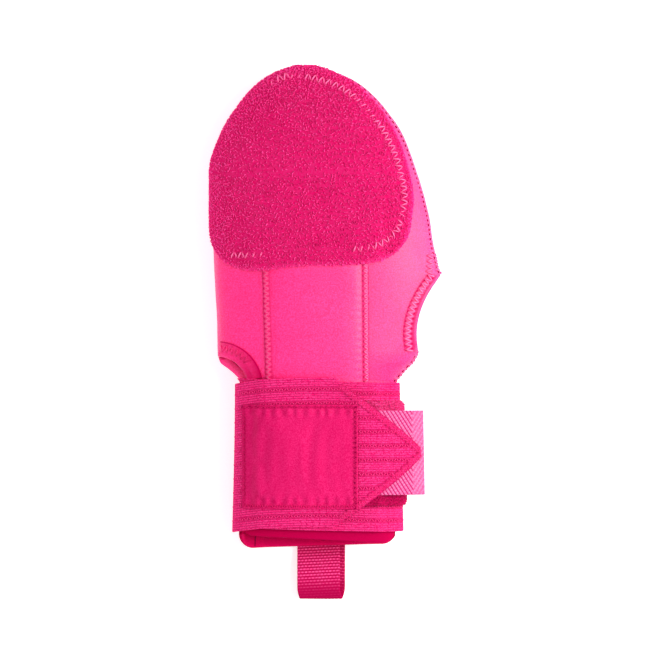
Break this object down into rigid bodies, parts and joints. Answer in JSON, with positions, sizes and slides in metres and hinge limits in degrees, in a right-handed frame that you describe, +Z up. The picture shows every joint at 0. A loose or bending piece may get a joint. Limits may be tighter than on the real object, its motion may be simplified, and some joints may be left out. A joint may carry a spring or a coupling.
{
  "type": "sliding mitt",
  "caption": "Padded neoprene hand guard for sliding into a base, with a closed finger end, a thumb hole, an elastic wrist wrap with hook-and-loop tab and a pull loop.",
  "frame": {"origin": "centre of the bounding box on the surface that the mitt rests on", "axes": "+X to the thumb side, +Y to the fingertips, +Z up from the back of the hand; it lies palm down on z = 0"},
  "size_m": [0.14, 0.3212, 0.0437],
  "materials": {
    "back_shell": "matte",
    "palm_shell": "matte",
    "centre_panel": "matte",
    "finger_patch": "matte",
    "thumb_binding": "matte",
    "heel_binding": "matte",
    "wrist_strap": "matte",
    "loop_pad": "matte",
    "pull_tab": "matte",
    "label_patch": "satin",
    "pull_loop": "matte"
  },
  "bodies": {
    "root": {"back_shell": "back_shell", "palm_shell": "palm_shell", "centre_panel": "centre_panel", "finger_patch": "finger_patch", "thumb_binding": "thumb_binding", "heel_binding": "heel_binding", "wrist_strap": "wrist_strap", "loop_pad": "loop_pad", "pull_tab": "pull_tab", "label_patch": "label_patch", "pull_loop": "pull_loop"}
  },
  "joints": []
}
